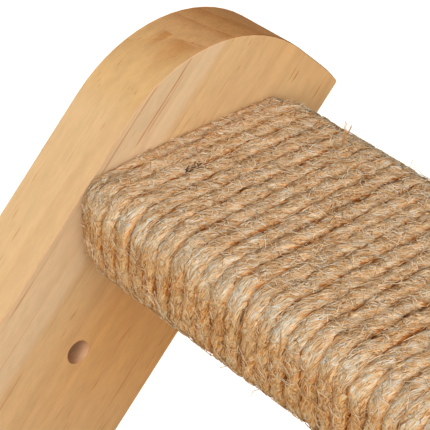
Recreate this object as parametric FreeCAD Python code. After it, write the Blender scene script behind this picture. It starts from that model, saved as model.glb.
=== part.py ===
import FreeCAD, Part
import math
import os

# Cat wall stair: a pine plate screwed to the wall on a diagonal, with rope-wrapped treads on its front.
# Millimetres. +Z is up, +X runs right along the wall and +Y points into the wall.
# The origin is the middle wall screw's hole, on the wall face of the plate.

Vector = FreeCAD.Vector
tolerance = 1e-6            # for finding edges by their place

# Wall plate
stair_angle = 45.0          # slope of the plate, degrees above the floor
plate_width = 63.0
plate_thickness = 20.0
plate_end_margin = 44.4     # from an end tread's centre to the end of the plate, along the plate
plate_end_round = 41.5      # the big round on one corner of each end
plate_tip_curve = 45.0      # radius that bends each end down to its other corner
plate_tip_run = 9.0         # how far from that corner the bend starts, across the plate
plate_tip_ease = 1.0        # rounding of that corner
plate_edge_ease = 0.3       # rounding of the rims of both faces
wall_hole_diameter = 7.0
wall_hole_spacing = 126.0   # along the plate, on its centre line
wall_hole_count = 3

# Treads
tread_count = 4
tread_spacing = 120.0       # centre to centre, along the plate
tread_shift = 1.4           # tread centres stand this far to the upper side of the plate's centre line
core_width = 63.0
core_thickness = 20.0
core_length = 206.0
core_edge_round = 5.0       # the four long edges, where the rope bends
core_end_ease = 1.2         # the rim of the free end

# Rope
rope_diameter = 4.5
rope_pitch = 5.1            # from turn to turn along the tread
rope_seat = 0.15            # between the rope and the wood that it is wound on
rope_plate_gap = 0.3        # between the first turn and the plate
rope_lip = 2.0              # least bare wood past the last turn

# Tread bolts, from the back of the plate into inserts in the tread's end grain
bolt_spread = 38.0          # between the two bolts of a tread
bolt_diameter = 6.0
bolt_length = 30.0          # under the head
bolt_head_diameter = 10.0
bolt_head_height = 6.0
bolt_socket_flats = 5.0
bolt_socket_depth = 3.0
bolt_tip_chamfer = 0.8
bolt_hole_clearance = 0.3   # round the bolt, in the plate
washer_diameter = 12.0
washer_thickness = 1.6
washer_hole_clearance = 0.2
counterbore_clearance = 0.5 # round the washer
counterbore_spare = 0.9     # from the bolt's head to the wall
insert_diameter = 10.0
insert_length = 18.0
insert_flange_diameter = 12.5
insert_flange_thickness = 1.5
insert_hole_clearance = 0.1 # round the insert, in the tread
insert_thread_clearance = 0.08
bolt_end_spare = 4.0        # room past the end of the bolt

# Dowel between the two bolts
dowel_diameter = 8.0
dowel_length = 30.0
dowel_in_plate = 10.0
dowel_chamfer = 1.0
dowel_clearance = 0.06      # round the dowel
dowel_end_spare = 0.5       # at each end of the dowel

slope = math.radians(stair_angle)
along = Vector(math.cos(slope), 0, math.sin(slope))
across = Vector(math.sin(slope), 0, -math.cos(slope))
to_room = Vector(0, -1, 0)
plate_length = (tread_count - 1) * tread_spacing + 2 * plate_end_margin
plate_tip_drop = plate_tip_curve - math.sqrt(plate_tip_curve ** 2 - plate_tip_run ** 2)

bolt_xs = (-bolt_spread / 2, bolt_spread / 2)
counterbore_depth = washer_thickness + bolt_head_height + counterbore_spare
bolt_reach = bolt_length - (plate_thickness - counterbore_depth) - washer_thickness

# The rope's centre line round the core: half sizes, corner radius and the half length of a flat run
rope_radius = rope_diameter / 2
rope_half_width = core_width / 2 + rope_seat + rope_radius
rope_half_height = core_thickness / 2 + rope_seat + rope_radius
rope_corner = core_edge_round + rope_seat + rope_radius
rope_flat = rope_half_width - rope_corner
rope_rise = rope_half_height - rope_corner
rope_first_turn = rope_plate_gap + rope_radius
rope_turns = 1 + int((core_length - rope_lip - rope_radius - rope_first_turn) / rope_pitch)


def on_plate(u, v):
    """Point on the wall face: u along the plate, upwards, and v across it, down to the right."""
    return along * u + across * v


def tread_place(index):
    """Where a tread's centre meets the front of the plate. Tread 0 is the highest."""
    u = ((tread_count - 1) / 2 - index) * tread_spacing
    return on_plate(u, -tread_shift) + to_room * plate_thickness


def line(start, end):
    return Part.LineSegment(start, end).toShape()


def arc(start, middle, end):
    return Part.Arc(start, middle, end).toShape()


def quarter(centre, start, end):
    """Arc from start to end about centre, a quarter circle at most."""
    middle = (start + end) * 0.5 - centre
    middle.normalize()
    return arc(start, centre + middle * (start - centre).Length, end)


def cylinder(diameter, length, start, direction):
    return Part.makeCylinder(diameter / 2, length, start, direction)


def plate_tip(turn):
    """The plate's sharper corner on the wall face. turn is 1 for the upper end and -1 for the lower."""
    return on_plate(turn * (plate_length / 2 - plate_tip_drop), turn * plate_width / 2)


def plate_half_outline(turn):
    """One long edge and one end of the plate. turn is 1 for the upper end and -1 for the lower."""
    half_length = plate_length / 2
    half_width = plate_width / 2

    def point(u, v):
        return on_plate(turn * u, turn * v)

    round_start = point(half_length - plate_end_round, -half_width)
    round_centre = point(half_length - plate_end_round, plate_end_round - half_width)
    round_end = point(half_length, plate_end_round - half_width)
    bend_start = point(half_length, half_width - plate_tip_run)
    bend_centre = point(half_length - plate_tip_curve, half_width - plate_tip_run)
    return [
        line(plate_tip(-turn), round_start),
        quarter(round_centre, round_start, round_end),
        line(round_end, bend_start),
        quarter(bend_centre, bend_start, plate_tip(turn)),
    ]


def make_wall_plate():
    outline = Part.Wire(plate_half_outline(1) + plate_half_outline(-1))
    plate = Part.Face(outline).extrude(to_room * plate_thickness)
    tips = []
    for turn in (1, -1):
        middle = plate_tip(turn) + to_room * (plate_thickness / 2)
        tips += [e for e in plate.Edges if e.CenterOfMass.distanceToPoint(middle) < tolerance]
    plate = plate.makeFillet(plate_tip_ease, tips)
    rims = [e for e in plate.Edges if abs(e.BoundBox.YLength) < tolerance]
    plate = plate.makeFillet(plate_edge_ease, rims)
    cuts = []
    for index in range(wall_hole_count):
        u = (index - (wall_hole_count - 1) / 2) * wall_hole_spacing
        cuts.append(cylinder(wall_hole_diameter, plate_thickness, on_plate(u, 0), to_room))
    for index in range(tread_count):
        front = tread_place(index)
        back = front - to_room * plate_thickness
        for x in bolt_xs:
            axis = back + Vector(x, 0, 0)
            hole = bolt_diameter + 2 * bolt_hole_clearance
            mouth = washer_diameter + 2 * counterbore_clearance
            cuts.append(cylinder(hole, plate_thickness, axis, to_room))
            cuts.append(cylinder(mouth, counterbore_depth, axis, to_room))
        dowel_depth = dowel_in_plate + dowel_end_spare
        cuts.append(cylinder(dowel_diameter + 2 * dowel_clearance, dowel_depth, front, -to_room))
    return plate.cut(cuts)


def make_core():
    """A tread's board, from the plate at y = 0 out to its free end."""
    board = Part.makeBox(core_width, core_length, core_thickness,
                         Vector(-core_width / 2, -core_length, -core_thickness / 2))
    long_edges = [e for e in board.Edges if abs(e.BoundBox.YLength - core_length) < tolerance]
    board = board.makeFillet(core_edge_round, long_edges)
    rim = [e for e in board.Edges if e.BoundBox.YMax < core_end_ease - core_length]
    board = board.makeFillet(core_end_ease, rim)
    cuts = []
    for x in bolt_xs:
        mouth = Vector(x, 0, 0)
        flange = insert_flange_diameter + 2 * insert_hole_clearance
        cuts.append(cylinder(flange, insert_flange_thickness, mouth, to_room))
        sleeve = insert_diameter + 2 * insert_hole_clearance
        cuts.append(cylinder(sleeve, insert_length, mouth, to_room))
        bolt_room = bolt_diameter + 2 * bolt_hole_clearance
        cuts.append(cylinder(bolt_room, max(bolt_reach, insert_length) + bolt_end_spare, mouth, to_room))
    dowel_depth = dowel_length - dowel_in_plate + dowel_end_spare
    cuts.append(cylinder(dowel_diameter + 2 * dowel_clearance, dowel_depth, Vector(), to_room))
    return board.cut(cuts)


def rope_turn(y):
    """One turn, from the near lower corner up, over the top, down the far side and under again."""
    def point(x, z):
        return Vector(x, y, z)

    edges = []
    for side in (-1, 1):
        x_out = side * rope_half_width
        x_flat = side * rope_flat
        low = point(x_flat, -rope_half_height)
        low_side = point(x_out, -rope_rise)
        high_side = point(x_out, rope_rise)
        high = point(x_flat, rope_half_height)
        climb = [
            (low, low_side, point(x_flat, -rope_rise)),
            (low_side, high_side, None),
            (high_side, high, point(x_flat, rope_rise)),
        ]
        if side > 0:
            climb = [(end, start, centre) for start, end, centre in reversed(climb)]
            edges.append(line(point(-rope_flat, rope_half_height), high))
        for start, end, centre in climb:
            edges.append(quarter(centre, start, end) if centre else line(start, end))
    return edges


def rope_crossing(y, cut):
    """Under the tread the rope steps on to the next turn: an arc, a straight run and an arc back.
    Where the rope is cut, the straight run is two halves that meet face to face."""
    straight = 2 * rope_diameter
    turn = 2 * math.atan2(rope_pitch, 2 * rope_flat + straight)
    radius = (2 * rope_flat - straight * math.cos(turn)) / (2 * math.sin(turn))

    def bend(end, angle):
        x = rope_flat - radius * math.sin(angle)
        step = radius * (1 - math.cos(angle))
        if end > 0:
            return Vector(-x, y - rope_pitch + step, -rope_half_height)
        return Vector(x, y - step, -rope_half_height)

    first, last = bend(-1, turn), bend(1, turn)
    middle = (first + last) * 0.5
    runs = [line(first, middle), line(middle, last)] if cut else [line(first, last)]
    leave = arc(bend(-1, 0), bend(-1, turn / 2), first)
    arrive = arc(last, bend(1, turn / 2), bend(1, 0))
    return [leave] + runs + [arrive]


def rope_paths():
    """The whole winding's centre line in two lengths, which meet under the middle of the tread."""
    turn_ys = [-rope_first_turn - index * rope_pitch for index in range(rope_turns)]
    inner_turns = rope_turns // 2
    start = Vector(-rope_flat, turn_ys[0], -rope_half_height)
    edges = [line(start + Vector(rope_diameter, 0, 0), start)]
    for index, y in enumerate(turn_ys):
        edges += rope_turn(y)
        if index + 1 == inner_turns:
            leave, run, next_run, arrive = rope_crossing(y, True)
            inner = edges + [leave, run]
            edges = [next_run, arrive]
        elif index + 1 < rope_turns:
            edges += rope_crossing(y, False)
    end = Vector(rope_flat, turn_ys[-1], -rope_half_height)
    return inner, edges + [line(end, end - Vector(rope_diameter, 0, 0))]


def least_gap(path):
    """Smallest clear space between two stretches of a rope, measured on points along it."""
    step = rope_diameter / 5
    points = path.discretize(Distance=step)
    loop = 4 * (rope_half_width + rope_half_height)
    nearest = loop
    reach = int(1.5 * loop / step)
    apart = int(0.5 * loop / step)
    for index, point in enumerate(points):
        for other in points[index + apart:index + reach]:
            if abs(point.x - other.x) < nearest and abs(point.z - other.z) < nearest:
                nearest = min(nearest, point.distanceToPoint(other))
    return nearest - rope_diameter


def make_rope(edges, name):
    path = Part.Wire(edges)
    start = edges[0].valueAt(edges[0].FirstParameter)
    heading = edges[0].tangentAt(edges[0].FirstParameter)
    shell = Part.BRepOffsetAPI.MakePipeShell(path)
    shell.add(Part.Wire([Part.makeCircle(rope_radius, start, heading)]))
    shell.build()
    shell.makeSolid()
    rope = shell.shape()
    swept = math.pi * rope_radius ** 2 * path.Length
    print("%s: length %.0f mm, volume %.4f of section times length, least gap to itself %.2f mm"
          % (name, path.Length, rope.Volume / swept, least_gap(path)))
    return rope


def make_bolt(x):
    """Socket head bolt, its head in the plate's counterbore and its shank towards the room."""
    seat = Vector(x, plate_thickness - counterbore_depth + washer_thickness, 0)
    head = cylinder(bolt_head_diameter, bolt_head_height, seat, -to_room)
    shank = cylinder(bolt_diameter, bolt_length, seat, to_room)
    tip = [e for e in shank.Edges if abs(e.BoundBox.YMax - (seat.y - bolt_length)) < tolerance]
    shank = shank.makeChamfer(bolt_tip_chamfer, tip)
    corners = []
    for index in range(7):
        angle = math.radians(60 * index)
        corner = bolt_socket_flats / math.sqrt(3)
        corners.append(seat + Vector(corner * math.cos(angle), bolt_head_height, corner * math.sin(angle)))
    socket = Part.Face(Part.makePolygon(corners)).extrude(to_room * bolt_socket_depth)
    return head.fuse(shank).removeSplitter().cut(socket)


def make_washer(x):
    seat = Vector(x, plate_thickness - counterbore_depth, 0)
    disc = cylinder(washer_diameter, washer_thickness, seat, -to_room)
    hole = bolt_diameter + 2 * washer_hole_clearance
    return disc.cut(cylinder(hole, washer_thickness, seat, -to_room))


def make_insert(x):
    """Threaded sleeve, flush with the tread's end, with a flange at its mouth."""
    mouth = Vector(x, 0, 0)
    sleeve = cylinder(insert_diameter, insert_length, mouth, to_room)
    flange = cylinder(insert_flange_diameter, insert_flange_thickness, mouth, to_room)
    thread = cylinder(bolt_diameter + 2 * insert_thread_clearance, insert_length, mouth, to_room)
    return sleeve.fuse(flange).removeSplitter().cut(thread)


def make_dowel():
    pin = cylinder(dowel_diameter, dowel_length, Vector(0, dowel_in_plate, 0), to_room)
    rims = [e for e in pin.Edges if abs(e.BoundBox.YLength) < tolerance]
    return pin.makeChamfer(dowel_chamfer, rims)


os.makedirs("parts", exist_ok=True)
make_wall_plate().exportStep("parts/wall_plate.step")

inner_path, outer_path = rope_paths()
tread_pieces = {
    "core": make_core(),
    "rope_inner": make_rope(inner_path, "inner rope"),
    "rope_outer": make_rope(outer_path, "outer rope"),
    "bolts": Part.makeCompound([make_bolt(x) for x in bolt_xs]),
    "washers": Part.makeCompound([make_washer(x) for x in bolt_xs]),
    "inserts": Part.makeCompound([make_insert(x) for x in bolt_xs]),
    "dowel": make_dowel(),
}
for index in range(tread_count):
    for piece, shape in tread_pieces.items():
        placed = shape.copy()
        placed.translate(tread_place(index))
        placed.exportStep("parts/tread_%d_%s.step" % (index + 1, piece))
print("plate length %.1f mm, %d turns of rope on each tread" % (plate_length, rope_turns))
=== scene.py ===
import math
import random
import bmesh
import bpy
import numpy
from mathutils import Matrix, Vector, noise


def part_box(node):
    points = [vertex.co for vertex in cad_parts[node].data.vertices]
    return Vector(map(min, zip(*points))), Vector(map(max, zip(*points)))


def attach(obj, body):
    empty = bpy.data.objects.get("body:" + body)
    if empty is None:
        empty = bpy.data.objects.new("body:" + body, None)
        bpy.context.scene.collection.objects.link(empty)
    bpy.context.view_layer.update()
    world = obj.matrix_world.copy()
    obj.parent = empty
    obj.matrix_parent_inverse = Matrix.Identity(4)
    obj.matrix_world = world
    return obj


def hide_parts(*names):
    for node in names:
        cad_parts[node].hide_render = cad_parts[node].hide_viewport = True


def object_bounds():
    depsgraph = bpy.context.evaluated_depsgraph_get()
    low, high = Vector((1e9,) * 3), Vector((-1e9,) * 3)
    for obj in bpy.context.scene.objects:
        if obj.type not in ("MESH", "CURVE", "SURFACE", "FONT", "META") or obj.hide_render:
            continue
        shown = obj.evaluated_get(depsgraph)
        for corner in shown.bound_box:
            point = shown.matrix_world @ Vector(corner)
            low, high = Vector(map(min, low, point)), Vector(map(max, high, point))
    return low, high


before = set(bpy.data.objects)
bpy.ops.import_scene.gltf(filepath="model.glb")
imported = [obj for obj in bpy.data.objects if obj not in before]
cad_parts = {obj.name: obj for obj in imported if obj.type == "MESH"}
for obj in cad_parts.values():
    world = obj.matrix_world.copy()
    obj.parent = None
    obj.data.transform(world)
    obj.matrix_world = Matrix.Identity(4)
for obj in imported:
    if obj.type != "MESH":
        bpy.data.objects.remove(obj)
cadLow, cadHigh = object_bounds()
treadNames = sorted(name.removesuffix("_core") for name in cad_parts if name.endswith("_core"))
print("frame loaded:", len(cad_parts), "nodes,", len(treadNames), "treads")

white = (1.0, 1.0, 1.0, 1.0)


def srgb(red, green, blue):
    levels = [level / 255 for level in (red, green, blue)]
    return tuple(v / 12.92 if v <= 0.04045 else ((v + 0.055) / 1.055) ** 2.4 for v in levels) + (1.0,)


def setInputs(tree, node, inputs):
    for key, value in inputs.items():
        if isinstance(value, bpy.types.NodeSocket):
            tree.links.new(value, node.inputs[key])
        else:
            node.inputs[key].default_value = value


def addNode(tree, kind, inputs=None, **settings):
    made = tree.nodes.new(kind)
    for key, value in settings.items():
        setattr(made, key, value)
    setInputs(tree, made, inputs or {})
    return made


def mathNode(tree, operation, first, second=0.0, third=0.0):
    return addNode(tree, "ShaderNodeMath", {0: first, 1: second, 2: third}, operation=operation).outputs[0]


def productNode(tree, product, *others):
    for other in others:
        product = mathNode(tree, "MULTIPLY", product, other)
    return product


def swingNode(tree, wave, reach, base=0.0):  # the base, moved up and down by a noise
    return mathNode(tree, "MULTIPLY_ADD", mathNode(tree, "SUBTRACT", wave, 0.5), reach, base)


def distanceNode(tree, value, at):
    return mathNode(tree, "ABSOLUTE", mathNode(tree, "SUBTRACT", value, at))


def vectorNode(tree, operation, first, second=(0, 0, 0), third=(0, 0, 0)):
    inputs = {0: first, 1: second, 2: third}
    return addNode(tree, "ShaderNodeVectorMath", inputs, operation=operation).outputs


def splitNode(tree, vector):
    return addNode(tree, "ShaderNodeSeparateXYZ", {0: vector}).outputs


def rampNode(tree, factor, stops):
    made = addNode(tree, "ShaderNodeValToRGB", {0: factor})
    elements = made.color_ramp.elements
    while len(elements) < len(stops):
        elements.new(1.0)
    for element, (position, colour) in zip(elements, stops):
        element.position = position
        element.color = colour
    return made.outputs[0]


def greyRamp(tree, factor, stops):
    return rampNode(tree, factor, [(position, (level, level, level, 1.0)) for position, level in stops])


def remapNode(tree, value, low, high, newLow=0.0, newHigh=1.0):
    inputs = {0: value, 1: low, 2: high, 3: newLow, 4: newHigh}
    return addNode(tree, "ShaderNodeMapRange", inputs, interpolation_type="SMOOTHSTEP").outputs[0]


def bandNode(tree, value, start, full, fade, stop):  # up from start to full, down from fade to stop
    rising = remapNode(tree, value, start, full)
    return productNode(tree, rising, remapNode(tree, value, fade, stop, 1.0, 0.0))


def mixNode(tree, factor, first, second, blend="MIX"):
    inputs = {0: factor, 6: first, 7: second}
    return addNode(tree, "ShaderNodeMix", inputs, data_type="RGBA", blend_type=blend).outputs[2]


def noiseNode(tree, place, stretch, detail=2.0, roughness=0.55, shift=(0, 0, 0)):
    mapped = addNode(tree, "ShaderNodeMapping", {0: place, 1: shift, 3: stretch}).outputs[0]
    inputs = {"Vector": mapped, "Scale": 1.0, "Detail": detail, "Roughness": roughness}
    return addNode(tree, "ShaderNodeTexNoise", inputs).outputs[0]


def bumpNode(tree, height, strength, depth):
    inputs = {"Height": height, "Strength": strength, "Distance": depth}
    return addNode(tree, "ShaderNodeBump", inputs).outputs[0]


def objectPlace(tree):
    return addNode(tree, "ShaderNodeTexCoord").outputs["Object"]


def attributeNode(tree, name, output="Fac"):
    return addNode(tree, "ShaderNodeAttribute", attribute_name=name).outputs[output]


def newMaterial(name):
    material = bpy.data.materials.new(name)
    material.use_nodes = True
    tree = material.node_tree
    return material, tree, tree.nodes["Principled BSDF"]


def newGroup(name, inputs, outputs):
    tree = bpy.data.node_groups.new(name, "ShaderNodeTree")
    for way, sockets in (("INPUT", inputs), ("OUTPUT", outputs)):
        for label, kind in sockets:
            tree.interface.new_socket(label, in_out=way, socket_type="NodeSocket" + kind)
    return tree, tree.nodes.new("NodeGroupInput").outputs, tree.nodes.new("NodeGroupOutput")


def addObject(name, data):
    made = bpy.data.objects.new(name, data)
    bpy.context.scene.collection.objects.link(made)
    return made


def readTread(name):  # the root is the middle of the board's section at the plate
    low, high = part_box(name + "_core")
    return {
        "root": Vector(((low[0] + high[0]) / 2, high[1], (low[2] + high[2]) / 2)),
        "halfWidth": round((high[0] - low[0]) / 2, 6),  # to a thousandth of a mm
        "halfHeight": round((high[2] - low[2]) / 2, 6),
    }


photoView = {
    "azimuth": -40.74,  # degrees, minus is from the left of the wall
    "elevation": 34.78,  # degrees above level
    "distance": 0.51585,  # m from camera to target
    "sensor": 36.0,  # mm
    "lens": 161.28,  # mm
    "nearest": 0.01,  # m, nothing closer is drawn
    "fromTread": (0.00998, 0.0, -0.01695),  # m, target from the top tread's root
}


def makeCamera(view, root):
    turn = math.radians(view["azimuth"])
    rise = math.radians(view["elevation"])
    back = Vector((math.sin(turn) * math.cos(rise), -math.cos(turn) * math.cos(rise), math.sin(rise)))
    right = (-back).cross(Vector((0, 0, 1))).normalized()
    up = right.cross(-back)
    data = bpy.data.cameras.new("photoCamera")
    data.sensor_width = view["sensor"]
    data.lens = view["lens"]
    data.clip_start = view["nearest"]
    camera = addObject("photoCamera", data)
    camera.matrix_world = Matrix((right, up, back)).transposed().to_4x4()
    camera.location = root + Vector(view["fromTread"]) + back * view["distance"]
    bpy.context.scene.camera = camera


topRoot = readTread(treadNames[0])["root"]
makeCamera(photoView, topRoot)
print("camera placed, top tread root", [round(v, 4) for v in topRoot])

studio = {
    "lights": {  # direction from the object, m across, W
        "key": ((0.0, -0.76, 0.65), 1.3, 8.5),
        "side": ((-0.79, -0.32, 0.51), 0.66, 8.2),
        "front": ((-0.55, -0.75, 0.35), 0.9, 2.5),
        "right": ((0.55, -0.82, 0.05), 0.9, 1.25),
        "top": ((-0.25, -0.10, 0.96), 0.9, 2.9),
        "back": ((0.25, 0.97, 0.0), 0.6, 7.0),
    },
    "distance": 1.1,  # m from the object to a light
    "sky": 0.02,  # strength of the light from all round
    "floorHalf": 6.0,  # m from the floor's middle to its edge
    "floorDrop": 0.0005,  # m below the lowest point
    "floorShade": (0.45, 0.30, 0.17, 1.0),  # warm light from below
    "floorRough": 0.9,
    "floorGlow": 0.95,  # white added for the camera
}


def makeLight(name, direction, size, power, distance):
    data = bpy.data.lights.new(name, "AREA")
    data.shape = "DISK"
    data.size = size
    data.energy = power
    light = addObject(name, data)
    light.location = Vector(direction).normalized() * distance
    light.rotation_euler = Vector(direction).to_track_quat("Z", "Y").to_euler()
    light.visible_glossy = False  # metal shows the white background, not the lamps


def seenDirectly(tree):
    path = addNode(tree, "ShaderNodeLightPath").outputs
    mirrored = mathNode(tree, "MAXIMUM", path["Is Glossy Ray"], path["Is Transmission Ray"])
    return mathNode(tree, "MAXIMUM", path["Is Camera Ray"], mirrored)


def makeWorld(values):
    world = bpy.data.worlds.new("whiteWorld")
    bpy.context.scene.world = world
    world.use_nodes = True
    tree = world.node_tree
    tree.nodes.clear()
    strength = mathNode(tree, "MULTIPLY_ADD", seenDirectly(tree), 1.0 - values["sky"], values["sky"])
    light = addNode(tree, "ShaderNodeBackground", {"Color": white, "Strength": strength})
    addNode(tree, "ShaderNodeOutputWorld", {"Surface": light.outputs[0]})


def makeFloor(values):
    mesh = bpy.data.meshes.new("floor")
    drop = Matrix.Translation((0, 0, cadLow[2] - values["floorDrop"]))
    build = bmesh.new()
    bmesh.ops.create_grid(build, x_segments=1, y_segments=1, size=values["floorHalf"], matrix=drop)
    build.to_mesh(mesh)
    build.free()
    floor = addObject("floor", mesh)
    material, tree, shader = newMaterial("floorWhite")
    setInputs(tree, shader, {
        "Base Color": values["floorShade"],
        "Roughness": values["floorRough"],
        "Specular IOR Level": 0.0,
        "Emission Color": white,
        "Emission Strength": productNode(tree, seenDirectly(tree), values["floorGlow"]),
    })
    mesh.materials.append(material)


for part, (direction, size, power) in studio["lights"].items():
    makeLight(part + "Light", direction, size, power, studio["distance"])
makeWorld(studio)
makeFloor(studio)
bpy.context.scene.view_settings.view_transform = "Standard"
print("floor, light and world made")

# In the finishes below a wave is a noise: repeats per metre, detail, roughness and shift.
# A span is two values of a noise or a measure between which an effect grows, then from what and to what.
grain = {
    "waves": {
        "streak": ((9.0, 330.0, 330.0), 3.0, 0.6),
        "fibre": ((60.0, 2400.0, 2400.0), 2.0, 0.6),
        "dash": ((120.0, 1500.0, 1500.0), 1.0, 0.4, (0.3, 0.1, 0.7)),
        "patch": ((30.0, 120.0, 120.0), 1.0),
        "sway": ((6.0, 9.0, 20.0), 1.0),
        "uneven": ((2.0, 9.0, 70.0), 2.0, 0.6, (0.4, 0.8, 0.2)),
        "broken": ((38.0, 260.0, 260.0), 2.0, 0.6, (0.6, 0.2, 0.9)),
        "mottle": ((160.0, 480.0, 480.0), 3.0, 0.65, (0.9, 0.5, 0.3)),
        "pores": ((300.0, 1800.0, 1800.0), 2.0, 0.6),
    },
    "ringsPerMetre": 117.6,
    "ringStart": 0.5194,  # m across the board, outside it, where the count of rings starts
    "ringLean": -0.26,  # slope of the rings through the board
    "swayReach": 0.005,  # m that a ring wanders along the board
    "unevenReach": 0.016,  # m that the rings are moved together or apart
    "lateStops": ((0.0, 0.0), (0.45, 0.06), (0.955, 1.0), (0.985, 0.0)),  # share of a ring, late wood
    "lateShade": 0.10,  # strength of the late wood on a face
    "endShade": 0.27,  # and how much more on end grain
    "thinStops": ((0.90, 0.0), (0.965, 1.0), (0.985, 0.0)),  # thin dark line at a ring's end
    "brokenSpan": (0.46, 0.62),  # and where it is broken
    "thinShade": 0.6,
    "streakSpan": (0.30, 0.72, 0.955, 1.03),
    "mottleSpan": (0.32, 0.68, 0.96, 1.04),
    "fibreSpan": (0.45, 0.75),
    "fibreShade": 0.05,
    "dashSpan": (0.65, 0.75),
    "patchSpan": (0.47, 0.60),  # dashes come in patches
    "dashShade": 0.55,
    "poreSpan": (0.35, 0.7),
    "endDark": (0.885, 0.68, 0.56, 1.0),  # tints of end grain
    "endLight": (0.99, 0.81, 0.71, 1.0),
    "roughSpan": (0.3, 0.7, 0.50, 0.62),
    "lateHeight": 0.3,
    "fibreHeight": 0.5,
}


def makeGrainGroup(values):
    inputs = [("Place", "Vector"), ("Base", "Color"), ("Line", "Color"), ("End", "Float")]
    outputs = [("Color", "Color"), ("Roughness", "Float"), ("Height", "Float")]
    tree, given, result = newGroup("woodGrain", inputs, outputs)
    place = given["Place"]  # x along the grain, y through the board, z across it
    waves = {key: noiseNode(tree, place, *wave) for key, wave in values["waves"].items()}
    apart = splitNode(tree, place)
    across = mathNode(tree, "MULTIPLY_ADD", apart[1], values["ringLean"], apart[2])
    across = swingNode(tree, waves["sway"], values["swayReach"], across)
    across = swingNode(tree, waves["uneven"], values["unevenReach"], across)
    rings = mathNode(tree, "SUBTRACT", values["ringStart"], across)
    rings = productNode(tree, rings, values["ringsPerMetre"])
    ring = mathNode(tree, "FRACT", rings)
    late = greyRamp(tree, ring, values["lateStops"])
    shade = mathNode(tree, "MULTIPLY_ADD", given["End"], values["endShade"], values["lateShade"])
    colour = mixNode(tree, productNode(tree, late, shade), given["Base"], given["Line"])
    number = {"W": mathNode(tree, "FLOOR", rings)}
    chance = addNode(tree, "ShaderNodeTexWhiteNoise", number, noise_dimensions="1D").outputs["Value"]
    thin = greyRamp(tree, ring, values["thinStops"])
    broken = remapNode(tree, waves["broken"], *values["brokenSpan"])
    thin = productNode(tree, thin, broken, chance, chance, values["thinShade"])  # most lines are faint
    colour = mixNode(tree, thin, colour, given["Line"])
    streaky = remapNode(tree, waves["streak"], *values["streakSpan"])
    streaky = productNode(tree, streaky, remapNode(tree, waves["mottle"], *values["mottleSpan"]))
    colour = mixNode(tree, 1.0, colour, streaky, "MULTIPLY")
    fibre = remapNode(tree, waves["fibre"], *values["fibreSpan"])
    colour = mixNode(tree, productNode(tree, fibre, values["fibreShade"]), colour, given["Line"])
    dash = remapNode(tree, waves["dash"], *values["dashSpan"])
    patch = remapNode(tree, waves["patch"], *values["patchSpan"])
    colour = mixNode(tree, productNode(tree, dash, patch, values["dashShade"]), colour, given["Line"])
    pores = remapNode(tree, waves["pores"], *values["poreSpan"])
    brown = mixNode(tree, pores, values["endDark"], values["endLight"])
    colour = mixNode(tree, given["End"], colour, mixNode(tree, 1.0, colour, brown, "MULTIPLY"))
    rough = remapNode(tree, waves["fibre"], *values["roughSpan"])
    height = productNode(tree, waves["fibre"], values["fibreHeight"])
    height = mathNode(tree, "MULTIPLY_ADD", late, values["lateHeight"], height)
    setInputs(tree, result, {"Color": colour, "Roughness": rough, "Height": height})
    return tree


grainGroup = makeGrainGroup(grain)

plateWood = {
    "turn": (0, math.radians(45), 0),  # brings the grain onto x
    "honey": srgb(214, 176, 127),
    "edge": srgb(209, 167, 111),
    "pale": srgb(218, 187, 147),
    "heart": srgb(221, 167, 106),
    "line": srgb(176, 106, 50),
    "edgeSpan": (0.35, 0.85, 1.0, 0.0),  # from the board's edges to its flat faces
    "faceSpan": (0.9, 0.99),  # only flat faces show resin lines
    "endStart": 0.32,  # how squarely a face looks along the grain to be end grain
    "endFull": 0.92,
    "driftFrom": 0.2,  # m along the board, where the heart wood has faded out
    "driftRate": 56.0,  # radians per metre of a slow change along the board
    "cloudWave": ((14.0, 40.0, 40.0), 2.0),
    "cloudReach": 0.006,  # m that sap and heart wood wander
    "sapStart": 0.0145,  # m across the board
    "sapFull": 0.0190,
    "edgeSap": (0.0, 0.3, 0.9, 0.5),  # how much less sap wood the edges have, by the slow change
    "heartStart": 0.016,
    "heartFull": -0.006,
    "rimBand": (0.05, 0.35, 0.80, 0.99),  # between an edge and a flat face
    "rimPaintedShade": 0.4,  # painted shade: how much darker the eased rims are made, to hold down the highlight the lamps give them
    "awayRimPaintedShade": srgb(120, 70, 32),  # painted shade on the rims at the tip and the lower side, which face away from the lamps
    "lowerSpan": (0.1, 0.6),  # how far a rim looks to the tip or down, where it gets that painted shade
    "resin": (  # m across, from, to, strength
        (0.0294, -0.5, 0.5, 0.5),
        (0.0240, 0.178, 0.208, 0.65),
        (0.0231, 0.182, 0.203, 0.45),
    ),
    "resinWidth": (0.0001, 0.0004),  # m from the middle, dark and then gone
    "resinEase": 0.004,  # m in which a line fades at its ends
    "wobbleWave": ((25.0, 1.0, 1.0), 1.0),
    "wobbleReach": 0.0012,  # m
    "gapWave": ((70.0, 400.0, 400.0), 2.0),
    "gapSpan": (0.36, 0.56),
    "stain": srgb(178, 112, 48),
    "stains": (  # m along to its end, through the board, width, run, strength
        (0.2085, -0.0072, 0.0020, 0.007, 0.60),
        (0.2085, -0.0145, 0.0050, 0.016, 0.40),
    ),
    "stainCore": 0.2,  # share of the width that is darkest
    "stainEdge": 0.0005,  # m in which a stain stops
    "stainSpan": (0.012, 0.018),  # m across, so that only the upper edge has stains
    "raggedWave": ((160.0, 500.0, 160.0), 3.0),
    "raggedReach": 0.006,  # m
    "holeSpacing": 0.126,  # m between wall holes along the board
    "holeReach": 0.0038,  # m from the hole's middle
    "holeEase": 0.0002,  # m
    # painted shade in the wall holes: a greyer colour that tones down the warm light bouncing inside
    "holePaintedShade": srgb(206, 163, 124),
    "bumpStrength": 0.1,
    "bumpDepth": 0.0002,  # m
    "shine": 0.01,
}
coreWood = dict(
    plateWood,
    turn=(0, 0, math.radians(90)),
    endStart=0.6,
    endFull=0.9,
    resin=(),
    stains=(),
)
dowelWood = dict(
    coreWood,
    pale=srgb(226, 190, 150),
    honey=srgb(210, 168, 122),
    heart=srgb(196, 148, 104),
    line=srgb(150, 100, 60),
)


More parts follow.
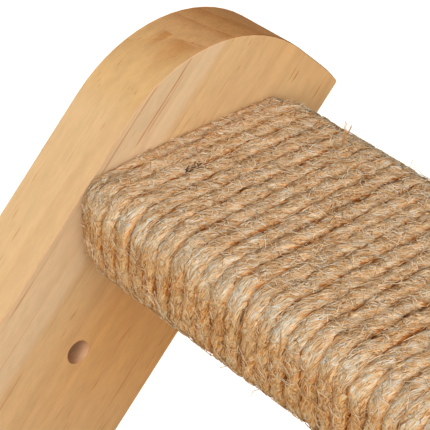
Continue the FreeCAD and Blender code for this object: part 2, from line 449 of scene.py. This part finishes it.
def boardSides(tree, values):
    turn = values["turn"]
    place = addNode(tree, "ShaderNodeMapping", {0: objectPlace(tree), 2: turn}).outputs[0]
    normal = addNode(tree, "ShaderNodeNewGeometry").outputs["Normal"]
    facing = addNode(tree, "ShaderNodeMapping", {0: normal, 2: turn}, vector_type="VECTOR").outputs[0]
    along, through, across = splitNode(tree, place)
    tipward, outward, upward = splitNode(tree, facing)
    flatOn = mathNode(tree, "ABSOLUTE", outward)
    return {
        "place": place,
        "along": along,
        "through": through,
        "across": across,
        "endOn": mathNode(tree, "ABSOLUTE", tipward),
        "flatOn": flatOn,
        "onEdge": remapNode(tree, flatOn, *values["edgeSpan"]),
        "lower": remapNode(tree, mathNode(tree, "SUBTRACT", tipward, upward), *values["lowerSpan"]),
    }


def boardTones(tree, board, values):
    drift = mathNode(tree, "SUBTRACT", board["along"], values["driftFrom"])
    drift = mathNode(tree, "COSINE", productNode(tree, drift, values["driftRate"]))
    drift = mathNode(tree, "MULTIPLY_ADD", drift, -0.5, 0.5)
    cloud = noiseNode(tree, board["place"], *values["cloudWave"])
    across = swingNode(tree, cloud, values["cloudReach"], board["across"])
    lessSap = productNode(tree, board["onEdge"], remapNode(tree, drift, *values["edgeSap"]))
    sap = remapNode(tree, across, values["sapStart"], values["sapFull"])
    sap = productNode(tree, sap, mathNode(tree, "SUBTRACT", 1.0, lessSap))
    heart = productNode(tree, remapNode(tree, across, values["heartStart"], values["heartFull"]), drift)
    base = mixNode(tree, board["onEdge"], values["honey"], values["edge"])
    base = mixNode(tree, sap, base, values["pale"])
    base = mixNode(tree, heart, base, values["heart"])
    # painted shade: eased rims are darkened against the lamps' highlight, and more where they face the tip
    # or down, away from the lamps
    rim = bandNode(tree, board["flatOn"], *values["rimBand"])
    base = mixNode(tree, productNode(tree, rim, values["rimPaintedShade"]), base, values["line"])
    return mixNode(tree, productNode(tree, rim, board["lower"]), base, values["awayRimPaintedShade"])


def addResin(tree, base, board, values):
    wobble = noiseNode(tree, board["place"], *values["wobbleWave"])
    across = swingNode(tree, wobble, values["wobbleReach"], board["across"])
    gaps = remapNode(tree, noiseNode(tree, board["place"], *values["gapWave"]), *values["gapSpan"])
    onFace = remapNode(tree, board["flatOn"], *values["faceSpan"])
    ease = values["resinEase"]
    for at, first, last, depth in values["resin"]:
        line = remapNode(tree, distanceNode(tree, across, at), *values["resinWidth"], depth, 0.0)
        reach = bandNode(tree, board["along"], first, first + ease, last - ease, last)
        base = mixNode(tree, productNode(tree, line, reach, gaps, onFace), base, values["line"])
    return base


def addStains(tree, base, board, values):
    onUpper = productNode(tree, board["onEdge"], remapNode(tree, board["across"], *values["stainSpan"]))
    ragged = noiseNode(tree, board["place"], *values["raggedWave"])
    through = swingNode(tree, ragged, values["raggedReach"], board["through"])
    for stop, at, width, run, depth in values["stains"]:
        core = values["stainCore"] * width
        stain = remapNode(tree, distanceNode(tree, through, at), core, width, depth, 0.0)
        reach = bandNode(tree, board["along"], stop - run, stop, stop, stop + values["stainEdge"])
        base = mixNode(tree, productNode(tree, stain, reach, onUpper), base, values["stain"])
    return base


def holeMask(tree, board, values):
    half = values["holeSpacing"] / 2
    nearest = mathNode(tree, "WRAP", board["along"], half, -half)
    across = productNode(tree, board["across"], board["across"])
    apart = mathNode(tree, "SQRT", mathNode(tree, "MULTIPLY_ADD", nearest, nearest, across))
    reach = values["holeReach"]
    inside = remapNode(tree, apart, reach, reach + values["holeEase"], 1.0, 0.0)
    return productNode(tree, inside, board["onEdge"])


def woodMaterial(name, values):
    material, tree, shader = newMaterial(name)
    board = boardSides(tree, values)
    base = boardTones(tree, board, values)
    base = addResin(tree, base, board, values)
    base = addStains(tree, base, board, values)
    # the wall holes get their painted shade colour in place of end grain
    hole = holeMask(tree, board, values)
    base = mixNode(tree, hole, base, values["holePaintedShade"])
    end = remapNode(tree, board["endOn"], values["endStart"], values["endFull"])
    end = productNode(tree, end, mathNode(tree, "SUBTRACT", 1.0, hole))
    inputs = {"Place": board["place"], "Base": base, "Line": values["line"], "End": end}
    grown = addNode(tree, "ShaderNodeGroup", inputs, node_tree=grainGroup).outputs
    setInputs(tree, shader, {
        "Base Color": grown["Color"],
        "Roughness": grown["Roughness"],
        "Normal": bumpNode(tree, grown["Height"], values["bumpStrength"], values["bumpDepth"]),
        "Specular IOR Level": values["shine"],
    })
    return material


zincSteel = {
    "dark": srgb(150, 154, 160),
    "light": srgb(190, 193, 198),
    "cloudWave": ((400, 400, 400), 3.0),
    "cloudSpan": (0.3, 0.7),
    "scratchWave": ((2600, 300, 2600), 2.0),
    "roughSpan": (0.3, 0.7, 0.30, 0.48),
    "bumpStrength": 0.1,
    "bumpDepth": 0.0001,  # m
}
insertMetal = dict(zincSteel, dark=srgb(176, 158, 108), light=srgb(212, 196, 146))


def metalMaterial(name, values):
    material, tree, shader = newMaterial(name)
    place = objectPlace(tree)
    cloud = remapNode(tree, noiseNode(tree, place, *values["cloudWave"]), *values["cloudSpan"])
    scratch = noiseNode(tree, place, *values["scratchWave"])
    setInputs(tree, shader, {
        "Base Color": mixNode(tree, cloud, values["dark"], values["light"]),
        "Roughness": remapNode(tree, scratch, *values["roughSpan"]),
        "Normal": bumpNode(tree, scratch, values["bumpStrength"], values["bumpDepth"]),
        "Metallic": 1.0,
    })
    return material


finishes = {
    "wall_plate": woodMaterial("pinePlate", plateWood),
    "core": woodMaterial("pineCore", coreWood),
    "dowel": woodMaterial("beechDowel", dowelWood),
    "bolts": metalMaterial("zincSteel", zincSteel),
    "washers": metalMaterial("zincWasher", zincSteel),
    "inserts": metalMaterial("insertMetal", insertMetal),
}
for name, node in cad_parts.items():
    finish = finishes.get(name) or finishes.get(name.split("_")[-1])
    if finish:
        node.data.materials.clear()
        node.data.materials.append(finish)
print("wood and metal finishes set")


def meshFromCurve(curve):
    holder = addObject("curveHolder", curve)
    bpy.context.view_layer.update()
    mesh = bpy.data.meshes.new_from_object(holder.evaluated_get(bpy.context.evaluated_depsgraph_get()))
    bpy.data.objects.remove(holder)
    return mesh


def meshPlaces(mesh):
    places = numpy.empty(len(mesh.vertices) * 3)
    mesh.vertices.foreach_get("co", places)
    return places.reshape(-1, 3)


def setAttribute(mesh, name, values):
    kind, field = ("FLOAT_VECTOR", "vector") if values.ndim == 2 else ("FLOAT", "value")
    mesh.attributes.new(name, kind, "POINT").data.foreach_set(field, values.ravel())


def mendMesh(mesh, mend):
    build = bmesh.new()
    build.from_mesh(mesh)
    mend(build)
    bmesh.ops.recalc_face_normals(build, faces=build.faces)
    build.to_mesh(mesh)
    build.free()


def closeEnds(build):
    bmesh.ops.holes_fill(build, edges=[edge for edge in build.edges if edge.is_boundary])


def addLine(curve, spots, kind="POLY"):
    line = curve.splines.new(kind)
    line.points.add(len(spots) - 1)
    line.points.foreach_set("co", numpy.column_stack((spots, numpy.ones(len(spots)))).ravel())
    return line


def ringOutline(radii):
    angles = numpy.linspace(0.0, 2 * math.pi, len(radii), endpoint=False)
    return numpy.column_stack((radii * numpy.cos(angles), radii * numpy.sin(angles)))


def makeSection(name, outline):
    curve = bpy.data.curves.new(name, "CURVE")
    addLine(curve, numpy.column_stack((outline, numpy.zeros(len(outline))))).use_cyclic_u = True
    return addObject(name, curve)


def newSweep(name, section):
    curve = bpy.data.curves.new(name, "CURVE")
    curve.dimensions = "3D"
    curve.bevel_mode = "OBJECT"
    curve.bevel_object = section
    return curve


def clamped(value, low, high):
    return max(low, min(high, value))


rope = {
    "turns": 20,  # turns in each length
    "pitch": 0.0051,  # m from turn to turn
    "firstTurn": 0.00255,  # m from the plate to the centre of the first turn
    "edgeRadius": 0.0050,  # m, rounding of the board's long edges
    "centreOut": 0.0024,  # m from the board to the rope's centre
    "cornerSharp": 6,  # how soon a corner takes over from a straight run
    "pointsPerTurn": 24,
    "pointSteps": 8,  # steps from point to point of the route
    "step": 0.0013,  # m from ring to ring
    "radius": 0.00258,
    "outline": 18,  # points round the section
    "strands": 3,
    "groove": 0.15,  # depth between strands as a share of the radius
    "lay": 0.045,  # m in one full twist of the strands
    "laySway": 0.25,  # full twists that the lay wanders
    "laySwayLength": 0.06,  # m of rope in which it does
    "sway": 0.00080,  # m that a turn wanders sideways
    "swayLength": 0.045,
    "ripple": 0.6,  # share of a shorter sideways wander
    "rippleLength": 0.014,
    "lift": 0.00030,  # m that a turn wanders in and out
    "liftLength": 0.03,
    "swell": 0.09,  # thick and thin places
    "swellLength": 0.011,
    "firstThin": 0.25,  # the turn at the plate is pulled tighter
    "firstSink": 0.00090,  # m
    "plateGap": 0.0001,  # m between the first turn and the plate
    "square": 3.0,  # fullness of the section, 2 is round
    "flat": 0.95,  # turns are pressed flatter on the wood
    "wide": 1.09,  # and wider along the tread
    "bendWide": 0.09,  # and wider still round a corner
    "rough": 0.00050,  # m, height of the loose fibre bundles
    "ragged": 2.0,  # how much looser they are at the turn's sides
    "bundle": (0.0040, 0.0010, 0.0010),  # m, size of a bundle
    "openSide": 0.7,  # how much less crease the open side of the last turn has
    "topShare": 1.6,  # how soon a corner counts as the top run
    "seed": 11,
    "seedStep": 10,  # from length to length
}


def ropeRoute(tread, values, half):
    count = values["pointsPerTurn"]
    first = half * values["turns"]
    last = first + values["turns"] - 1
    halfFlat = tread["halfWidth"] - values["edgeRadius"]  # straight half of the top run
    halfRise = tread["halfHeight"] - values["edgeRadius"]  # and of the side run
    corner = values["edgeRadius"] + values["centreOut"]
    under = -halfRise - corner
    cutEnd = halfFlat - 2 * values["radius"]  # a cut end lies straight under the tread

    def onTurn(over, turn, height):
        return tread["root"] + Vector((over, -values["firstTurn"] - values["pitch"] * turn, height))

    spots = [onTurn(-cutEnd, first, under) if half == 0 else onTurn(0.0, first - 0.5, under)]
    for turn in range(first, last + 1):
        for point in range(1, count):  # from below, up the left side and over the top
            angle = math.radians(270 - 360 / count * point)
            flat = clamped(values["cornerSharp"] * math.cos(angle), -1.0, 1.0)
            rise = clamped(values["cornerSharp"] * math.sin(angle), -1.0, 1.0)
            over = halfFlat * flat + corner * math.cos(angle)
            spots.append(onTurn(over, turn, halfRise * rise + corner * math.sin(angle)))
        isEnd = half == 1 and turn == last
        spots.append(onTurn(cutEnd, turn, under) if isEnd else onTurn(0.0, turn + 0.5, under))
    curve = bpy.data.curves.new("ropeRoute", "CURVE")
    curve.dimensions = "3D"
    curve.resolution_u = values["pointSteps"]
    line = addLine(curve, spots, "NURBS")
    line.order_u = 3
    line.use_endpoint_u = True
    mesh = meshFromCurve(curve)
    places = meshPlaces(mesh)
    bpy.data.meshes.remove(mesh)
    return places


def evenSteps(places, step):
    steps = numpy.linalg.norm(numpy.diff(places, axis=0), axis=1)
    lengths = numpy.concatenate(([0.0], numpy.cumsum(steps)))
    marks = numpy.linspace(0.0, lengths[-1], int(lengths[-1] / step) + 1)
    return numpy.stack([numpy.interp(marks, lengths, side) for side in places.T], axis=1), marks


noiseRows = (7.31, 3.17)  # how far apart the rows of noise for two seeds are


def wander(marks, length, seed):
    row = [seed * apart for apart in noiseRows]
    return numpy.array([noise.noise(Vector((mark / length, *row))) for mark in marks])


def fullness(sine, cosine, power):  # reach of a section between round and square
    return (abs(sine) ** power + abs(cosine) ** power) ** (-1.0 / power)


def ropeLine(tread, values, half, seed):
    places, marks = evenSteps(ropeRoute(tread, values, half), values["step"])
    outward = numpy.cross(numpy.gradient(places, axis=0), (0.0, 1.0, 0.0))  # away from the wood
    outward /= numpy.linalg.norm(outward, axis=1)[:, None]
    places = places + outward * (values["lift"] * wander(marks, values["liftLength"], seed))[:, None]
    sway = wander(marks, values["swayLength"], seed + 1)
    ripple = wander(marks, values["rippleLength"], seed + 2)
    places[:, 1] += values["sway"] * (sway + values["ripple"] * ripple)
    nearPlate = 1.0 - (tread["root"].y - values["firstTurn"] - places[:, 1]) / values["pitch"]
    nearPlate = numpy.clip(nearPlate, 0.0, 1.0)
    places = places - outward * (values["firstSink"] * nearPlate)[:, None]
    swell = wander(marks, values["swellLength"], seed + 3)
    twist = wander(marks, values["laySwayLength"], seed + 4)
    return {
        "marks": marks,
        "places": places,
        "outward": outward,
        "widths": 1.0 + values["swell"] * swell - values["firstThin"] * nearPlate,
        "twists": 2 * math.pi * (marks / values["lay"] + values["laySway"] * twist),
        "sides": 1.0 - numpy.clip(values["topShare"] * outward[:, 2], 0.0, 1.0),  # 0 on the top run
        "bends": 2.0 * numpy.abs(outward[:, 0] * outward[:, 2]),  # 1 in the middle of a corner
    }


def sweepRope(name, wound, values):
    turns = numpy.linspace(0.0, values["strands"] * math.pi, values["outline"], endpoint=False)
    radii = values["radius"] * (1.0 - values["groove"] * (1.0 - numpy.abs(numpy.cos(turns))))
    outline = ringOutline(radii)
    section = makeSection("ropeSection", outline)
    curve = newSweep(name, section)
    line = addLine(curve, wound["places"])
    line.points.foreach_set("tilt", wound["twists"])
    line.points.foreach_set("radius", wound["widths"])
    mesh = meshFromCurve(curve)
    bpy.data.objects.remove(section)
    return mesh, outline


def pressTurns(away, spot, bend, values, seed):  # fuller, rougher and wider than the plain sweep
    bundles = spot / numpy.array(values["bundle"]) + seed
    rough = numpy.array([noise.noise(Vector(bundle)) for bundle in bundles])
    side = numpy.abs(away[:, 1]) / numpy.linalg.norm(away, axis=1)
    upright = numpy.sqrt(numpy.clip(1.0 - side ** 2, 0.0, 1.0))
    loose = values["rough"] / values["radius"] * (1.0 + values["ragged"] * side ** 2) * rough
    pressed = away * (fullness(side, upright, values["square"]) + loose)[:, None]
    pressed *= numpy.array((values["flat"], values["wide"], values["flat"]))
    pressed[:, 1] *= 1.0 + values["bendWide"] * bend
    return pressed


def creaseDepths(away, middles, bend, root, values):  # 0 on a turn's crown, 1 between two turns
    half = 0.5 * values["pitch"]
    depths = numpy.abs(away[:, 1]) / half / (1.0 + values["bendWide"] * bend)
    lastTurn = root.y - values["firstTurn"] - values["pitch"] * (2 * values["turns"] - 1)
    atEnd = numpy.clip((lastTurn + values["pitch"] - middles[:, 1]) / half, 0.0, 1.0)
    return depths * (1.0 - values["openSide"] * atEnd * (away[:, 1] < 0.0))


def makeRopePiece(name, root, wound, values, seed):
    mesh, outline = sweepRope(name, wound, values)
    points = len(outline)
    rings = len(wound["marks"])
    spot = numpy.column_stack((numpy.repeat(wound["marks"], points), numpy.tile(outline, (rings, 1))))
    bend = numpy.repeat(wound["bends"], points)
    middles = numpy.repeat(wound["places"], points, axis=0)
    away = pressTurns(meshPlaces(mesh) - middles, spot, bend, values, seed)
    corners = middles + away
    corners[:, 1] = numpy.minimum(corners[:, 1], root.y - values["plateGap"])
    mesh.vertices.foreach_set("co", corners.ravel())
    setAttribute(mesh, "fibreSpot", spot)
    setAttribute(mesh, "creaseDepth", creaseDepths(away, middles, bend, root, values))
    setAttribute(mesh, "paintedSideShare", numpy.repeat(wound["sides"], points))
    setAttribute(mesh, "bendShare", bend)
    mendMesh(mesh, closeEnds)
    mesh.polygons.foreach_set("use_smooth", numpy.ones(len(mesh.polygons), dtype=bool))
    return addObject(name, mesh)


husk = {
    "colour": srgb(66, 42, 32),
    "place": (-0.0096, -0.0148, 0.0146),  # m from the top tread's root
    "shape": (0.34, 1.0, 0.5),  # longer along the rope than across
    "fleckWave": ((700, 1900, 1900), 1.0),
    "fleckReach": 0.003,  # m that its outline is broken up
    "fade": (0.0004, 0.0010),  # m from its middle, dark and then gone
}


def makeHuskGroup(values):
    tree, given, result = newGroup("huskMark", [("Place", "Vector")], [("Mask", "Float")])
    middle = topRoot + Vector(values["place"])
    near = vectorNode(tree, "SUBTRACT", given["Place"], middle)["Vector"]
    near = addNode(tree, "ShaderNodeMapping", {0: near, 3: values["shape"]}).outputs[0]
    near = vectorNode(tree, "LENGTH", near)["Value"]
    flecks = noiseNode(tree, given["Place"], *values["fleckWave"])
    near = swingNode(tree, flecks, values["fleckReach"], near)
    setInputs(tree, result, {"Mask": remapNode(tree, near, *values["fade"], 1.0, 0.0)})
    return tree


huskGroup = makeHuskGroup(husk)


def addHusk(tree, place, colour):
    mask = addNode(tree, "ShaderNodeGroup", {"Place": place}, node_tree=huskGroup).outputs["Mask"]
    return mixNode(tree, mask, colour, husk["colour"])


jute = {
    "dark": srgb(160, 103, 56),
    "rust": srgb(226, 176, 122),
    "straw": srgb(240, 209, 168),
    "pale": srgb(231, 224, 208),
    "side": srgb(243, 233, 207),  # painted shade, darker and warmer, on the turns' side runs
    "bend": (0.86, 0.945, 1.04, 1.0),  # painted shade where the rope is stretched round a corner: dims and cools the crowns that the key and side lamps both light
    "bendEase": 0.6,  # how much lighter the creases are there, with less painted crease shade
    "paintedCreaseShade": srgb(192, 142, 95),  # painted shade between the turns, darker and warmer
    "fineDark": (0.90, 0.77, 0.62, 1.0),  # shade from fibre to fibre
    "fineLight": (0.98, 1.03, 1.10, 1.0),
    "paintedCreaseWarmth": (1.03, 0.99, 0.90, 1.0),  # painted warm shade: the light fibres between the turns are warmer
    "waves": {  # along the rope and over its section
        "strand": ((200, 1300, 1300), 2.0, 0.6),
        "fibre": ((520, 3400, 3400), 2.0, 0.65),
        "hue": ((260, 1100, 1100), 2.0, 0.6, (3.1, 1.7, 0.4)),
        "fine": ((600, 4400, 4400), 1.0, 0.5, (1.3, 4.1, 2.2)),
    },
    "kinks": 420.0,  # per metre, fibres out of line
    "kinkReach": (0.0, 0.0012, 0.0012),  # m
    "cloudWave": ((120, 120, 120), 2.0),
    "strandTone": 0.32,  # shares of the waves in a place's tone
    "fibreTone": 0.68,
    "cloudTone": 0.12,
    "hueSpan": (0.38, 0.62),  # from rust to straw
    "darkSpan": (0.32, 0.48),
    "paleSpan": (0.49, 0.66),
    "fineSpan": (0.35, 0.65),
    "strandDepth": 0.9,  # strands make the creases uneven
    "crownSpan": (0.60, 1.00, 1.0, 0.1),  # by the depth in a crease; pale and neutral light fibres stay on the crowns, a painted shade that keeps the creases warm and dark
    # where the painted crease shade grows, by the depth in a crease
    "creaseSpan": (0.80, 1.10),
    "roughness": 0.85,
    "strandHeight": 0.4,
    "fibreHeight": 0.6,
    "bumpStrength": 1.0,
    "bumpDepth": 0.0013,  # m
}


def kinkedSpot(tree, values):
    spot = attributeNode(tree, "fibreSpot", "Vector")
    inputs = {"Vector": spot, "Scale": values["kinks"], "Detail": 1.0}
    kinks = addNode(tree, "ShaderNodeTexNoise", inputs).outputs["Color"]
    kinks = vectorNode(tree, "SUBTRACT", kinks, (0.5, 0.5, 0.5))["Vector"]
    return vectorNode(tree, "MULTIPLY_ADD", kinks, values["kinkReach"], spot)["Vector"]


def juteMaterial(values):
    material, tree, shader = newMaterial("juteRope")
    place = objectPlace(tree)
    bend = attributeNode(tree, "bendShare")
    spot = kinkedSpot(tree, values)
    waves = {key: noiseNode(tree, spot, *wave) for key, wave in values["waves"].items()}
    tone = productNode(tree, waves["strand"], values["strandTone"])
    tone = mathNode(tree, "MULTIPLY_ADD", waves["fibre"], values["fibreTone"], tone)
    tone = swingNode(tree, noiseNode(tree, place, *values["cloudWave"]), values["cloudTone"], tone)
    hue = remapNode(tree, waves["hue"], *values["hueSpan"])
    colour = mixNode(tree, hue, values["rust"], values["straw"])
    colour = mixNode(tree, remapNode(tree, tone, *values["darkSpan"]), values["dark"], colour)
    deep = swingNode(tree, waves["strand"], values["strandDepth"], attributeNode(tree, "creaseDepth"))
    # painted shade: pale fibres fade out towards the creases
    crown = remapNode(tree, deep, *values["crownSpan"])
    pale = productNode(tree, remapNode(tree, tone, *values["paleSpan"]), crown)
    colour = mixNode(tree, pale, colour, values["pale"])
    # painted shade in the creases between turns, eased at the corners
    eased = mathNode(tree, "MULTIPLY_ADD", bend, -values["bendEase"], 1.0)
    paintedCreaseShade = productNode(tree, remapNode(tree, deep, *values["creaseSpan"]), eased)
    colour = mixNode(tree, paintedCreaseShade, colour, values["paintedCreaseShade"], "MULTIPLY")
    # painted shade on the corner crowns
    colour = mixNode(tree, productNode(tree, bend, crown), colour, values["bend"], "MULTIPLY")
    light = mixNode(tree, crown, values["paintedCreaseWarmth"], values["fineLight"])
    fine = mixNode(tree, remapNode(tree, waves["fine"], *values["fineSpan"]), values["fineDark"], light)
    colour = mixNode(tree, 1.0, colour, fine, "MULTIPLY")
    # painted shade on the turns' side runs
    colour = mixNode(tree, attributeNode(tree, "paintedSideShare"), colour, values["side"], "MULTIPLY")
    height = productNode(tree, waves["fibre"], values["fibreHeight"])
    height = mathNode(tree, "MULTIPLY_ADD", waves["strand"], values["strandHeight"], height)
    setInputs(tree, shader, {
        "Base Color": addHusk(tree, place, colour),
        "Roughness": values["roughness"],
        "Normal": bumpNode(tree, height, values["bumpStrength"], values["bumpDepth"]),
        "Specular IOR Level": 0.0,
    })
    return material


fuzz = {
    "perLength": 10000,  # stray fibres on one length of rope
    "shortest": 0.0012,  # m
    "longest": 0.0062,
    "lengthBias": 1.8,  # above 1 makes more of them short
    "thickness": 0.00009,  # m, radius of a stray fibre
    "points": 3,
    "sides": 3,
    "weldReach": 0.0000001,  # m, joins a fibre's caps to its sides
    "layAngle": 8,  # degrees from the run of the rope
    "layScatter": 28,
    "layLean": 66,  # degrees to either side of a turn's crown
    "steepest": 1.3,  # radians down a turn's side
    "crossShare": 0.42,  # fibres that cross from turn to turn
    "crossAngles": (30, 150),  # degrees from the run of the rope
    "crossLean": 25,  # degrees from a turn's crown
    "standShare": 0.010,  # fibres that stand out
    "standRise": (0.0006, 0.0034),  # m, and how far
    "lift": (0.00002, 0.00022),  # m that all fibres lie off the rope
    "bow": 0.2,  # bend as a share of the length
    "layTone": 0.20,  # laid fibres are no darker than this
    "crossTone": 0.30,  # nor are those that cross
    "standTone": 0.45,  # nor those that stand out
    "paintedSideShade": 0.15,  # painted shade: how much darker the fibres of the side runs are
    "paintedFibreCreaseShade": 0.40,  # painted shade: how much darker the fibres in a crease are
    "tuftPlace": (0.0240, -0.0324, 0.0140),  # m, loose fibre ends, from the top tread's root
    "tuftTone": 0.3,
    "tuftTips": (
        (0.0016, 0.0004, 0.0075),
        (0.0018, 0.0002, 0.0070),
        (0.0030, -0.0004, 0.0062),
        (0.0032, -0.0003, 0.0056),
        (0.0008, -0.0006, 0.0055),
        (0.0011, -0.0004, 0.0050),
        (0.0022, 0.0006, 0.0048),
        (0.0020, 0.0003, 0.0044),
        (0.0014, -0.0002, 0.0040),
    ),
    "seed": 500,  # added to the rope's
}


def drawFibre(draw, wound, values):
    spread = values["longest"] - values["shortest"]
    length = values["shortest"] + spread * draw.random() ** values["lengthBias"]
    kind = draw.random()
    crosses = kind < values["crossShare"]
    stands = kind > 1.0 - values["standShare"]
    laid = (values["layAngle"], values["layScatter"])
    lay = draw.uniform(*values["crossAngles"]) if crosses else draw.gauss(*laid)
    margin = int(length / rope["step"]) + 2
    at = draw.randrange(margin, len(wound["places"]) - margin)
    leanest = values["crossLean"] if crosses else values["layLean"]
    lean = math.radians(draw.uniform(-leanest, leanest))
    lift = draw.uniform(*values["lift"])
    bow = draw.gauss(0, values["bow"])
    least = values["crossTone"] if crosses else values["standTone"] if stands else values["layTone"]
    tone = least + (1.0 - least) * draw.random()
    bend = wound["bends"][at]
    # painted crease shade on the laid fibres
    if not crosses and not stands:
        tone *= 1.0 - values["paintedFibreCreaseShade"] * (1.0 - jute["bendEase"] * bend) * math.sin(lean) ** 2
    return {
        "length": length,
        "crosses": crosses,
        "lay": math.radians(lay),
        "at": at,  # ring of the rope at the fibre's middle
        "lean": lean,
        "lift": lift,
        "bow": bow,
        "rise": draw.uniform(*values["standRise"]) if stands else 0.0,
        # painted shade on the fibres of the side runs
        "tone": tone * (1.0 - values["paintedSideShade"] * wound["sides"][at]),
        "bend": bend * math.cos(lean) ** 2,
    }


def fibrePoint(fibre, share, wound, values):
    run = fibre["length"] * (share - 0.5)
    bulge = fibre["bow"] * fibre["length"] * math.sin(math.pi * share)
    along = run * math.cos(fibre["lay"]) - bulge * math.sin(fibre["lay"])
    aside = run * math.sin(fibre["lay"]) + bulge * math.cos(fibre["lay"])
    mark = fibre["at"] + along / rope["step"]
    whole = math.floor(mark)
    part = mark - whole
    spot = wound["places"][whole] * (1 - part) + wound["places"][whole + 1] * part
    outward = wound["outward"][whole]
    reach = rope["radius"] * wound["widths"][whole]
    height = fibre["lift"] + fibre["rise"] * share
    if fibre["crosses"]:
        spot = spot + outward * (reach * rope["flat"] + height)
        spot[1] += reach * math.sin(fibre["lean"]) - aside
    else:
        angle = clamped(fibre["lean"] - aside / reach, -values["steepest"], values["steepest"])
        reach *= fullness(math.sin(angle), math.cos(angle), rope["square"])
        spot = spot + outward * (reach * rope["flat"] + height) * math.cos(angle)
        spot[1] += (reach * rope["wide"] + height) * math.sin(angle)
    return spot


def setFibres(mesh, name, given, values):
    caps = numpy.repeat(given[::-1], 2 * values["sides"])  # caps come first, last fibre foremost
    tubes = numpy.repeat(given, values["points"] * values["sides"])
    setAttribute(mesh, name, numpy.concatenate((caps, tubes)))


def weldCaps(build):
    bmesh.ops.remove_doubles(build, verts=build.verts, dist=fuzz["weldReach"])


def makeFuzz(name, root, wound, values, seed):
    draw = random.Random(seed)
    outline = ringOutline(numpy.full(values["sides"], values["thickness"]))
    section = makeSection("fibreSection", outline)
    curve = newSweep(name, section)
    curve.use_fill_caps = True
    tones = []
    bends = []
    shares = numpy.linspace(0.0, 1.0, values["points"])
    nearPlate = root.y - rope["plateGap"] - values["thickness"]
    for number in range(values["perLength"]):
        fibre = drawFibre(draw, wound, values)
        spots = numpy.array([fibrePoint(fibre, share, wound, values) for share in shares])
        spots[:, 1] = numpy.minimum(spots[:, 1], nearPlate)
        addLine(curve, spots)
        tones.append(fibre["tone"])
        bends.append(fibre["bend"])
    foot = root + Vector(values["tuftPlace"])
    hasTuft = root == topRoot and wound["places"][0][1] > foot.y  # on the length next to the plate
    for tip in values["tuftTips"] if hasTuft else ():
        addLine(curve, [foot + Vector(tip) * share for share in shares])
        tones.append(values["tuftTone"])
        bends.append(0.0)
    mesh = meshFromCurve(curve)
    bpy.data.objects.remove(section)
    setFibres(mesh, "fibreTone", tones, values)
    setFibres(mesh, "fibreBend", bends, values)
    mendMesh(mesh, weldCaps)
    return addObject(name, mesh)


strayFibre = {
    "stops": ((0.1, srgb(162, 99, 46)), (0.45, srgb(218, 174, 120)), (0.9, srgb(229, 210, 181))),
    "cloudWave": ((500, 500, 500), 1.0),
    "cloudTone": 0.3,  # change of tone along a fibre
    "roughness": 0.85,
}


def strayMaterial(values):
    material, tree, shader = newMaterial("strayJute")
    place = objectPlace(tree)
    cloud = noiseNode(tree, place, *values["cloudWave"])
    tone = swingNode(tree, cloud, values["cloudTone"], attributeNode(tree, "fibreTone"))
    colour = rampNode(tree, tone, values["stops"])
    # the rope's painted corner shade, on the fibres
    colour = mixNode(tree, attributeNode(tree, "fibreBend"), colour, jute["bend"], "MULTIPLY")
    setInputs(tree, shader, {
        "Base Color": addHusk(tree, place, colour),
        "Roughness": values["roughness"],
        "Specular IOR Level": 0.0,
    })
    return material


juteFinish = juteMaterial(jute)
strayFinish = strayMaterial(strayFibre)

for number, name in enumerate(treadNames):
    tread = readTread(name)
    root = tread["root"]
    for half, end in enumerate(("inner", "outer")):
        seed = rope["seed"] + rope["seedStep"] * (2 * number + half)
        wound = ropeLine(tread, rope, half, seed)
        piece = makeRopePiece(f"{name}JuteRope{end.title()}", root, wound, rope, seed)
        piece.data.materials.append(juteFinish)
        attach(piece, "root")
        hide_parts(f"{name}_rope_{end}")
        stray = makeFuzz(f"{name}JuteFuzz{end.title()}", root, wound, fuzz, fuzz["seed"] + seed)
        stray.data.materials.append(strayFinish)
        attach(stray, "root")
print("rope wound on", len(treadNames), "treads")
